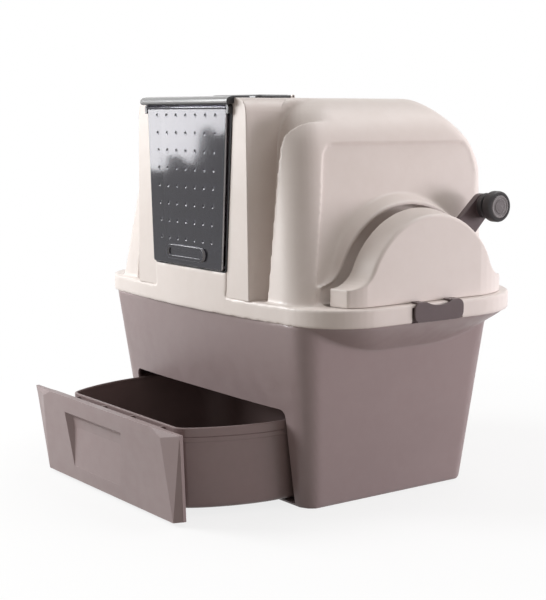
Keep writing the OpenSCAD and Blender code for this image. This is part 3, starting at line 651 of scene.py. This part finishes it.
def waste_bin_shell():
    outside = ((BIN_FOOT, 6), (11.5, 3), (14, 1), (18, 0), (112, 0), (113, -1.2), (119.5, -1.2),
               (119.8, 0), (BIN_RIM, 0))
    inside = ((13, 6), (15, 2.5), (19, 0.6), (24, 0), (135, 0))
    body = solid("waste_bin_shell", bin_form, outside, 1.2)
    cut(body, solid("room", bin_form, inside, 4))
    return edge_radius(body, 0.6, 40)


def liner_ring():
    ring = solid("liner_ring", bin_form, ((120, 0.8), (120.9, 0), (131.5, 0), (133.2, 0.6), (134, 1.8)), 0)
    cut(ring, solid("seat", bin_form, ((110, 0), (131.1, 0)), 0.9),
        solid("mouth", bin_form, ((125, 1), (131.5, 0.6), (133, 0), (140, -3)), 4.4))
    for x in (-137, -50, 37, 124):
        add(ring, solid("rib", block, (x - 2, -384.3, 123), (x + 2, -358, 131)))
    return edge_radius(ring, 0.4, 40, 2)


def raised_face():
    """Raised middle of the drawer's front with the recess for the fingers."""
    face = solid("raised", hull, ((-192, -390, 5), (192, -376, 6)), ((-202, -379.8, 7), (202, -375, 8)),
                 ((-182, -404.5, 130), (182, -393, 131)), ((-156, -405, 140.5), (156, -393, 141.5)),
                 ((-221, -396.4, 138), (221, -393, 139)))
    cut(face, solid("grip", hull, ((-112, -440, 116), (68, -403.9, 116.5)),
                    ((-99, -440, 28), (46, -392.4, 28.5)), ((-101, -391.5, 104.5), (55, -390, 105))))
    return edge_radius(face, 1.3, 12)


def drawer_hollows():
    """Cutters for the hollow back of the drawer's front: one on each side and one behind the recess."""
    made = []
    for s in SIDES:
        (x0, x1), (x2, x3) = span(s, 118, 170), span(s, 118, 182)
        made.append(solid("hollow", hull, ((x0, -400, 125), (x1, -380, 126)),
                          ((x2, -386, 18), (x3, -366, 19))))
    middle = ((-110, -386.5, 18), (110, -366, 19)), ((-110, -388, 84), (110, -378, 85))
    return made + [solid("hollow", hull, *middle)]


def drawer_hooks(bm):
    """Ribs behind the drawer's front that reach to the bin; the outer ones stand in the hollows."""
    for x in (-150, -68, 18, 101):
        front = -396 if abs(x) > 114 else -389
        hull(bm, ((x - 2, front, 60), (x + 2, -352, 61)), ((x - 2, front, 111), (x + 2, -352, 111.7)))


def drawer_face():
    plate = solid("drawer_face", hull, ((-203, -379.5, 7), (203, -374.5, 8)),
                  ((-222.3, -396.5, 139), (222.3, -391.5, 140)))
    edge_radius(plate, 1.2)
    add(plate, raised_face())
    cut(plate, *drawer_hollows())
    hooks = solid("hooks", drawer_hooks)
    cut(hooks, solid("bin_way", bin_form, ((0, 0), (150, 0)), 0.9))
    edge_radius(hooks, 0.4, 40, 2)
    rail = solid("rail", block, (-196, -393.5, 125), (196, -384.5, 134))
    return add(plate, hooks, edge_radius(rail, 1))


# ------------ lever and grip

# Outlines of the grip's turned pieces, as (radius, along) pairs.
SLEEVE = ((8.06, 0), (18, 0), (19.4, 0.5), (20, 1.6), (20, 7.6), (19.5, 8.8), (18.2, 9.6), (17, 10.2),
          (16.5, 11.2), (16.5, 13.4), (17.2, 14.6), (20, 15.0), (22.2, 15.6), (23.5, 17), (24, 19.2),
          (24, 28), (23.6, 29.8), (22.6, 31.4), (21, 32.3), (19.2, 32.5), (18.2, 32.1), (18.2, 27.5),
          (8.06, 27.5))
CAP_RING = ((11, 0), (18, 0), (18, 3.9), (17.6, 4.7), (16.8, 5.2), (15.4, 5.2), (14.4, 4.9), (13.8, 4.3),
            (12.8, 4.2), (12.2, 4.6), (11, 4.7))
CAP_DISC = ((0.01, 0.4), (10.8, 0.4), (10.8, 4.5), (10.4, 5.1), (9.6, 5.4), (8.4, 5.4), (7.9, 5.1),
            (7.2, 5.1), (6.8, 5.3), (0.01, 5.4))


def swung(obj):
    """Swings a piece drawn with the lever level to the lever's resting angle."""
    centre = Vector((0, AXLE_Y, AXLE_Z)) * MM
    obj.data.transform(Matrix.Translation(centre) @ Matrix.Rotation(rad(LEVER_DEG), 4, "X")
                       @ Matrix.Translation(-centre))
    return obj


def lever_arm_piece():
    grip_y, end, square = AXLE_Y + LEVER_R, LEVER_R + 18.5, 8.1
    outline = ((-24, -24), (0, -24), (end, -18.5), (end, 18.5), (0, 24), (-24, 24))
    arm = solid("lever_arm_bar", side_slab, 262.5, 11, [(AXLE_Y + y, AXLE_Z + z) for y, z in outline],
                (23, 0, 18.2, 18.2, 0, 23), 12)
    edge_radius(arm, 1.6)
    add(arm, solid("neck", rod, 17, (272.5, grip_y, AXLE_Z), (277.5, grip_y, AXLE_Z)),
        solid("spindle", rod, 8, (272.5, grip_y, AXLE_Z), (304, grip_y, AXLE_Z), 32))
    return cut(swung(arm), solid("square_hole", block, (250, AXLE_Y - square, AXLE_Z - square),
                                 (290, AXLE_Y + square, AXLE_Z + square)))


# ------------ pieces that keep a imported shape

def softened(node, width):
    """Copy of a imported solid: its loose triangles are joined and its edges rounded."""
    bm = bmesh.new()
    bm.from_mesh(cad[node].data)
    bmesh.ops.remove_doubles(bm, verts=bm.verts, dist=0.01 * MM)
    return edge_radius(object_from(bm, node + "_moulded"), width, 30, 2)


# ------------ finishes

MIX_FACTOR, MIX_FIRST, MIX_SECOND, MIX_RESULT = 0, 6, 7, 2  # a Mix node's sockets for colour
DUST_TINT = (0.62, 0.60, 0.57, 1)
FLOAT, COLOUR, VECTOR = "NodeSocketFloat", "NodeSocketColor", "NodeSocketVector"


def node_of(tree, kind):
    """The node of one type that a new material or world comes with."""
    return next(n for n in tree.nodes if n.type == kind)


def feed(tree, socket, value):
    """Links an output to a socket, or sets the socket to a number or colour."""
    if isinstance(value, bpy.types.NodeSocket):
        tree.links.new(value, socket)
    else:
        socket.default_value = value


def effect(name, inputs, outputs):
    """Empty node group with named sockets, and the sockets inside it by name."""
    tree = bpy.data.node_groups.new(name, "ShaderNodeTree")
    for way, sockets in (("INPUT", inputs), ("OUTPUT", outputs)):
        for label, kind in sockets.items():
            tree.interface.new_socket(label, in_out=way, socket_type=kind)
    return tree, tree.nodes.new("NodeGroupInput").outputs, tree.nodes.new("NodeGroupOutput").inputs


def noise(tree, spot, scale, detail, rough=0.5):
    node = tree.nodes.new("ShaderNodeTexNoise")
    for label, value in (("Vector", spot), ("Scale", scale), ("Detail", detail), ("Roughness", rough)):
        feed(tree, node.inputs[label], value)
    return node.outputs["Fac"]


def maths(tree, kind, a, b):
    node = tree.nodes.new("ShaderNodeMath")
    node.operation = kind
    for socket, value in zip(node.inputs, (a, b)):
        feed(tree, socket, value)
    return node.outputs[0]


def spread(tree, value, low, high, to_low, to_high):
    """Stretches what lies between low and high to another range."""
    node = tree.nodes.new("ShaderNodeMapRange")
    for label, number in (("Value", value), ("From Min", low), ("From Max", high),
                          ("To Min", to_low), ("To Max", to_high)):
        feed(tree, node.inputs[label], number)
    return node.outputs["Result"]


def blend_colours(tree, factor, first, second):
    node = tree.nodes.new("ShaderNodeMix")
    node.data_type = "RGBA"
    for index, value in ((MIX_FACTOR, factor), (MIX_FIRST, first), (MIX_SECOND, second)):
        feed(tree, node.inputs[index], value)
    return node.outputs[MIX_RESULT]


def bumped(tree, shader, height, distance, strength):
    """Gives the shader a relief from a height; the distance is in metres."""
    bump = tree.nodes.new("ShaderNodeBump")
    for label, value in (("Height", height), ("Distance", distance), ("Strength", strength)):
        feed(tree, bump.inputs[label], value)
    tree.links.new(bump.outputs["Normal"], shader.inputs["Normal"])


def make_moulded_tone():
    """Slow drift of tone and faint cloudiness of injection-moulded plastic."""
    tree, given, made = effect("moulded_tone", {"Colour": COLOUR, "Shade": COLOUR, "Spot": VECTOR},
                               {"Colour": COLOUR})
    slow = noise(tree, given["Spot"], 4.5, 2)
    small = noise(tree, given["Spot"], 55, 4, 0.6)
    cloud = maths(tree, "ADD", maths(tree, "MULTIPLY", slow, 0.7), maths(tree, "MULTIPLY", small, 0.3))
    share = spread(tree, cloud, 0.36, 0.64, 0, 1)
    tree.links.new(blend_colours(tree, share, given["Colour"], given["Shade"]), made["Colour"])
    return tree


def make_fine_grain():
    """Spark-eroded mould grain, as a height and as a roughness."""
    tree, given, made = effect("fine_grain", {"Spot": VECTOR, "Grain": FLOAT, "Smooth": FLOAT,
                                              "Rough": FLOAT}, {"Height": FLOAT, "Roughness": FLOAT})
    patch = noise(tree, given["Spot"], 38, 3, 0.55)
    gloss = spread(tree, patch, 0.35, 0.65, given["Smooth"], given["Rough"])
    tree.links.new(noise(tree, given["Spot"], given["Grain"], 2, 0.6), made["Height"])
    tree.links.new(gloss, made["Roughness"])
    return tree


def make_handling():
    """Hairline rubs left by hands and by sliding parts, as a mask."""
    tree, given, made = effect("handling_rubs", {"Spot": VECTOR, "Amount": FLOAT}, {"Mask": FLOAT})
    stretch = tree.nodes.new("ShaderNodeMapping")
    stretch.inputs["Scale"].default_value = (6, 14, 160)
    stretch.inputs["Rotation"].default_value = (rad(18), rad(24), 0)
    tree.links.new(given["Spot"], stretch.inputs["Vector"])
    lines = spread(tree, noise(tree, stretch.outputs["Vector"], 4, 5, 0.7), 0.6, 0.72, 0, 1)
    where = spread(tree, noise(tree, given["Spot"], 11, 2), 0.5, 0.68, 0, 1)
    mask = maths(tree, "MULTIPLY", maths(tree, "MULTIPLY", lines, where), given["Amount"])
    tree.links.new(mask, made["Mask"])
    return tree


def make_dust():
    """Thin dust on what faces up, as a mask."""
    tree, given, made = effect("settled_dust", {"Spot": VECTOR, "Amount": FLOAT}, {"Mask": FLOAT})
    facing = tree.nodes.new("ShaderNodeNewGeometry")
    split = tree.nodes.new("ShaderNodeSeparateXYZ")
    tree.links.new(facing.outputs["Normal"], split.inputs[0])
    up = spread(tree, split.outputs["Z"], 0.3, 1, 0, 1)
    flecks = spread(tree, noise(tree, given["Spot"], 130, 5, 0.65), 0.45, 0.75, 0.1, 1)
    mask = maths(tree, "MULTIPLY", maths(tree, "MULTIPLY", up, flecks), given["Amount"])
    tree.links.new(mask, made["Mask"])
    return tree


tone_group, grain_group = make_moulded_tone(), make_fine_grain()
rub_group, dust_group = make_handling(), make_dust()


def place(tree, group, spot, **values):
    """Puts an effect in a material with its own values."""
    node = tree.nodes.new("ShaderNodeGroup")
    node.node_tree = group
    tree.links.new(spot, node.inputs["Spot"])
    for label, value in values.items():
        node.inputs[label].default_value = value
    return node


def new_finish(name):
    """A new material with its tree, its shader and its object coordinates."""
    finish = bpy.data.materials.new(name)
    finish.use_nodes = True
    tree = finish.node_tree
    spot = tree.nodes.new("ShaderNodeTexCoord").outputs["Object"]
    return finish, tree, node_of(tree, "BSDF_PRINCIPLED"), spot


def plastic(name, colour, shade, smooth, rough, grain=900.0, relief=0.00002, rubs=0.25, dust=0.12,
            specular=0.5):
    """Moulded plastic: tone between two colours, grain, rubs and dust; relief is in metres."""
    finish, tree, shader, spot = new_finish(name)
    tone = place(tree, tone_group, spot, Colour=(*colour, 1), Shade=(*shade, 1))
    texture = place(tree, grain_group, spot, Grain=grain, Smooth=smooth, Rough=rough)
    rub = place(tree, rub_group, spot, Amount=rubs)
    film = place(tree, dust_group, spot, Amount=dust)
    pale = [min(1, 0.55 * c + 0.36) for c in colour]
    worn = blend_colours(tree, rub.outputs["Mask"], tone.outputs["Colour"], (*pale, 1))
    dusty = blend_colours(tree, film.outputs["Mask"], worn, DUST_TINT)
    tree.links.new(dusty, shader.inputs["Base Color"])
    dulled = maths(tree, "MULTIPLY", film.outputs["Mask"], 0.3)
    tree.links.new(maths(tree, "ADD", texture.outputs["Roughness"], dulled), shader.inputs["Roughness"])
    bumped(tree, shader, texture.outputs["Height"], relief, 0.6)
    shader.inputs["Specular IOR Level"].default_value = specular
    return finish


def clear_smoke(name):
    """Smoked clear sheet: faint ripple, hairlines and a little haze."""
    finish, tree, shader, spot = new_finish(name)
    tone = place(tree, tone_group, spot, Colour=(0.115, 0.11, 0.15, 1), Shade=(0.10, 0.095, 0.13, 1))
    rub = place(tree, rub_group, spot, Amount=0.5)
    tree.links.new(tone.outputs["Colour"], shader.inputs["Base Color"])
    haze = maths(tree, "ADD", maths(tree, "MULTIPLY", rub.outputs["Mask"], 0.2), 0.07)
    tree.links.new(haze, shader.inputs["Roughness"])
    bumped(tree, shader, noise(tree, spot, 14, 2), 0.0003, 0.25)
    shader.inputs["IOR"].default_value = 1.52
    shader.inputs["Specular Tint"].default_value = (0.94, 0.92, 1, 1)
    shader.inputs["Transmission Weight"].default_value = 1
    return finish


def metal(name, colour, smooth, rough):
    """Plated metal with a fine grain in its gloss."""
    finish, tree, shader, spot = new_finish(name)
    tone = place(tree, tone_group, spot, Colour=(*colour, 1), Shade=(*(0.85 * c for c in colour), 1))
    texture = place(tree, grain_group, spot, Grain=2400.0, Smooth=smooth, Rough=rough)
    tree.links.new(tone.outputs["Colour"], shader.inputs["Base Color"])
    tree.links.new(texture.outputs["Roughness"], shader.inputs["Roughness"])
    shader.inputs["Metallic"].default_value = 1
    return finish


POLISHED = {"relief": 0.000008, "rubs": 0.1, "dust": 0.1}
cream = plastic("cream_plastic", (0.79, 0.725, 0.69), (0.745, 0.675, 0.635), 0.34, 0.46,
                rubs=0.12, dust=0.03)
taupe = plastic("taupe_plastic", (0.325, 0.253, 0.253), (0.297, 0.23, 0.23), 0.34, 0.48,
                rubs=0.10, dust=0.05)
# Darker copy of the taupe for the waste bin and its liner ring: painted shade for the shade they sit in under
# the base.
shaded_bin_taupe = plastic("shaded_bin_taupe_plastic", (0.25, 0.184, 0.18), (0.222, 0.163, 0.159), 0.32, 0.45,
                    rubs=0.14, dust=0.05)
dark = plastic("dark_plastic", (0.115, 0.084, 0.088), (0.092, 0.068, 0.072), 0.3, 0.42,
               rubs=0.12, dust=0.08)
smoke = plastic("smoke_plastic", (0.045, 0.045, 0.05), (0.035, 0.035, 0.04), 0.1, 0.2, **POLISHED)
# Light grey on the top and front of the smoked visor: painted reflection of white light.
visor_painted_reflection = plastic("visor_painted_reflection", (0.27, 0.27, 0.27), (0.24, 0.24, 0.245), 0.14, 0.24, **POLISHED)
# Pale grey on the narrow faces of the smoked door: painted highlight where its edges catch the light.
flap_painted_highlight = plastic("flap_painted_highlight", (0.62, 0.63, 0.66), (0.5, 0.51, 0.54), 0.08, 0.16, **POLISHED)
black = plastic("black_plastic", (0.02, 0.02, 0.021), (0.016, 0.016, 0.017), 0.3, 0.45)
rubber = plastic("black_rubber", (0.028, 0.024, 0.026), (0.022, 0.019, 0.021), 0.42, 0.6,
                 grain=1500.0, relief=0.00004, rubs=0.15, dust=0.1)
grey = plastic("grey_plastic", (0.22, 0.205, 0.21), (0.19, 0.177, 0.182), 0.25, 0.36)
grey_disc = plastic("grey_disc_plastic", (0.17, 0.155, 0.16), (0.145, 0.13, 0.135), 0.25, 0.36)
felt = plastic("carbon_felt", (0.02, 0.02, 0.022), (0.012, 0.012, 0.013), 0.8, 0.95,
               grain=420.0, relief=0.0006, rubs=0, dust=0.1, specular=0.2)
door_clear = clear_smoke("smoke_clear")
steel = metal("zinc_steel", (0.58, 0.58, 0.60), 0.28, 0.42)


# ------------ assembly

def dress(obj, finish, slot, body, *nodes, angle=32):
    """Gives a made piece its finish and its body, and hides the solids it stands for; slot is not used."""
    obj.data.materials.clear()
    obj.data.materials.append(finish)
    obj.data.shade_smooth()
    obj.data.set_sharp_from_angle(angle=rad(angle))
    even = obj.modifiers.new("even", "WEIGHTED_NORMAL")
    even.keep_sharp, even.weight = True, 60
    settle(obj)
    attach(obj, body)
    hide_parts(*nodes)
    return obj


def paint(obj, finish, chosen):
    """Second finish on the faces that chosen(centre in millimetres, normal) picks."""
    obj.data.materials.append(finish)
    for face in obj.data.polygons:
        if chosen(face.center / MM, face.normal):
            face.material_index = len(obj.data.materials) - 1


def visor_reflection_faces(at, way):
    """Picks the visor's faces, apart from its underside, for the painted reflection of white light."""
    return at.z > 601.7 and at.y < -235 and abs(at.x) < 123.5 and way.z > -0.3


def flap_highlight_faces(at, way):
    """Picks the narrow faces round the clear door, its dimples and its pull, which get a painted highlight.
    """
    return at.z < 590 and abs(way.y) < 0.8


dress(hood_shell(), cream, "cream_plastic", "base", "hood", angle=38)
dress(base_shell(), taupe, "taupe_plastic", "base", "base_tub", angle=38)
dress(lever_cover_shell(), cream, "cream_plastic", "base", "lever_cover", angle=38)
dress(latch_plate("latch_right_plate"), dark, "taupe_plastic", "latch_r", "latch_right")
dress(far_latch_plate("latch_left_plate"), dark, "taupe_plastic", "latch_l", "latch_left")
paint(dress(door_frame_piece(), smoke, "smoke_plastic", "base", "door_frame"), visor_painted_reflection, visor_reflection_faces)
paint(dress(door_flap(), door_clear, "smoke_clear", "door", "entry_door", angle=10), flap_painted_highlight, flap_highlight_faces)
dress(filter_lid(), smoke, "smoke_plastic", "filter_lid", "filter_cover")
dress(waste_bin_shell(), shaded_bin_taupe, "taupe_plastic", "drawer", "waste_bin")
dress(liner_ring(), shaded_bin_taupe, "taupe_plastic", "drawer", "liner_frame")
dress(drawer_face(), taupe, "taupe_plastic", "drawer", "drawer_front", angle=25)
dress(lever_arm_piece(), dark, "dark_plastic", "drum", "lever_arm")
for outline, x, finish, slot, node in ((SLEEVE, GRIP_X, rubber, "black_rubber", "lever_grip"),
                                       (CAP_RING, CAP_X, grey, "grey_plastic", "grip_cap"),
                                       (CAP_DISC, CAP_X, grey_disc, "grey_plastic", "grip_plug")):
    dress(swung(solid(node + "_turned", turned, outline, x)), finish, slot, "drum", node)
for node, width, finish, slot in (("litter_pan", 0.8, taupe, "taupe_plastic"),
                                  ("sifting_grid", 0.5, dark, "dark_plastic"),
                                  ("pan_hub", 0.5, dark, "dark_plastic"),
                                  ("drive_shaft", 0.5, dark, "dark_plastic")):
    dress(softened(node, width), finish, slot, "drum", node)

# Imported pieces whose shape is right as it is.
for node, finish in (("bearing_left", black), ("bearing_right", black), ("carbon_filter", felt),
                     ("latch_pins", steel), ("cover_screws", steel), ("grid_screws", steel),
                     ("shaft_clip", steel), ("lever_screw", steel)):
    mesh = cad[node].data
    if not mesh.materials:
        mesh.materials.append(finish)
    for index in range(len(mesh.materials)):
        mesh.materials[index] = finish


# ------------ camera

AZIMUTH, ELEVATION = rad(53.8), rad(7.85)
CAMERA_AT = Vector((1.7907, -1.3829, 0.5867))
SENSOR = 36
PICTURE_TALL, FOCAL_LENGTH = 600, 1353.7  # in pixels of the picture

back = Vector((math.sin(AZIMUTH) * math.cos(ELEVATION), -math.cos(AZIMUTH) * math.cos(ELEVATION),
               math.sin(ELEVATION)))
right = Vector((math.cos(AZIMUTH), math.sin(AZIMUTH), 0))
up = back.cross(right)
lens = bpy.data.cameras.new("camera")
lens.sensor_width, lens.lens = SENSOR, FOCAL_LENGTH * SENSOR / PICTURE_TALL
lens.clip_end = 50
camera = bpy.data.objects.new("camera", lens)
scene.collection.objects.link(camera)
camera.matrix_world = Matrix.Translation(CAMERA_AT) @ Matrix((right, up, back)).transposed().to_4x4()
scene.camera = camera
scene.view_settings.view_transform = "Standard"


# ------------ floor and light

AMBIENT = (0.315, 0.288, 0.268, 1)
GROUND_BOUNCE, GROUND_SEEN = (0.34, 0.31, 0.28, 1), (0.93, 0.93, 0.93, 1)
FLOOR_REACH, FLOOR_DROP = 9000, 0.4  # in millimetres; the floor lies just below the base
WHITE_FROM, WHITE_TO = 0.45, 0.95  # metres from the middle over which the ground turns white
WINDOW_GLOW = 9


def seen_rays(tree):
    """1 for what the camera sees straight, in a reflection or through a clear sheet."""
    rays = tree.nodes.new("ShaderNodeLightPath")
    looked = maths(tree, "MAXIMUM", rays.outputs["Is Camera Ray"], rays.outputs["Is Glossy Ray"])
    return maths(tree, "MAXIMUM", looked, rays.outputs["Is Transmission Ray"])


def ground_white():
    """Pale ground that turns plain white away from the object and keeps the shadow near it."""
    made, tree, shader, spot = new_finish("ground_white")
    looked = seen_rays(tree)
    tree.links.new(blend_colours(tree, looked, GROUND_BOUNCE, GROUND_SEEN), shader.inputs["Base Color"])
    shader.inputs["Roughness"].default_value = 0.9
    length = tree.nodes.new("ShaderNodeVectorMath")
    length.operation = "LENGTH"
    tree.links.new(spot, length.inputs[0])
    white = spread(tree, length.outputs["Value"], WHITE_FROM, WHITE_TO, 0.8, 1)
    mix = tree.nodes.new("ShaderNodeMixShader")
    tree.links.new(maths(tree, "MULTIPLY", white, looked), mix.inputs[0])
    tree.links.new(shader.outputs[0], mix.inputs[1])
    tree.links.new(tree.nodes.new("ShaderNodeEmission").outputs[0], mix.inputs[2])
    tree.links.new(mix.outputs[0], node_of(tree, "OUTPUT_MATERIAL").inputs["Surface"])
    return made


def floor_sheet(bm):
    bmesh.ops.create_grid(bm, x_segments=1, y_segments=1, size=FLOOR_REACH)


floor = solid("floor", floor_sheet)
floor.location.z = -FLOOR_DROP * MM
floor.data.materials.append(ground_white())

world = bpy.data.worlds.new("studio")
scene.world = world
world.use_nodes = True
sky = world.node_tree
sky.links.new(blend_colours(sky, seen_rays(sky), AMBIENT, (1, 1, 1, 1)),
              node_of(sky, "BACKGROUND").inputs["Color"])


def softbox(name, at, aim, size, watts, tint=(1, 1, 1), reflected=True):
    """Rectangular lamp; reflected says whether glossy faces mirror it."""
    light = bpy.data.lights.new(name, "AREA")
    light.shape, light.size, light.size_y = "RECTANGLE", size[0], size[1]
    light.energy, light.color = watts, tint
    obj = bpy.data.objects.new(name, light)
    scene.collection.objects.link(obj)
    obj.location = at
    obj.rotation_euler = (Vector(aim) - Vector(at)).to_track_quat("-Z", "Y").to_euler()
    obj.visible_glossy = reflected


softbox("key", (-1.45, -1.7, 1.3), (-0.05, -0.15, 0.35), (1.2, 1.2), 54, (0.97, 0.99, 1))
softbox("side", (1.7, 1.8, 0.2), (0.15, 0, 0.1), (1.8, 0.9), 56, (1, 0.95, 1), reflected=False)
softbox("top", (0.4, 1.0, 2.4), (0, 0, 0.3), (1.4, 1.4), 21)


def window_card(bm):
    """Bright window outside the view that mirrors in the upper part of the clear flap."""
    eye = CAMERA_AT.copy()
    eye.y = 2 * FLAP_Y * MM - eye.y
    reach = 1.66
    ragged = ((-135, 497), (-64, 496), (-52, 521), (-12, 520), (15, 506), (37, 530), (46, 560), (66, 569),
              (92, 552), (124, 566), (150, 680), (-150, 680))
    spots = [Vector((x * MM, FLAP_Y * MM, z * MM)) for x, z in ragged]
    bm.faces.new([bm.verts.new((eye + reach * (spot - eye)) / MM) for spot in spots])


def window_light():
    """Plain glow for the window card."""
    made, tree, _, _ = new_finish("window_light")
    lamp = tree.nodes.new("ShaderNodeEmission")
    lamp.inputs["Strength"].default_value = WINDOW_GLOW
    tree.links.new(lamp.outputs[0], node_of(tree, "OUTPUT_MATERIAL").inputs["Surface"])
    return made


card = solid("window_card", window_card)
card.data.materials.append(window_light())
card.visible_camera = card.visible_diffuse = card.visible_transmission = card.visible_shadow = False
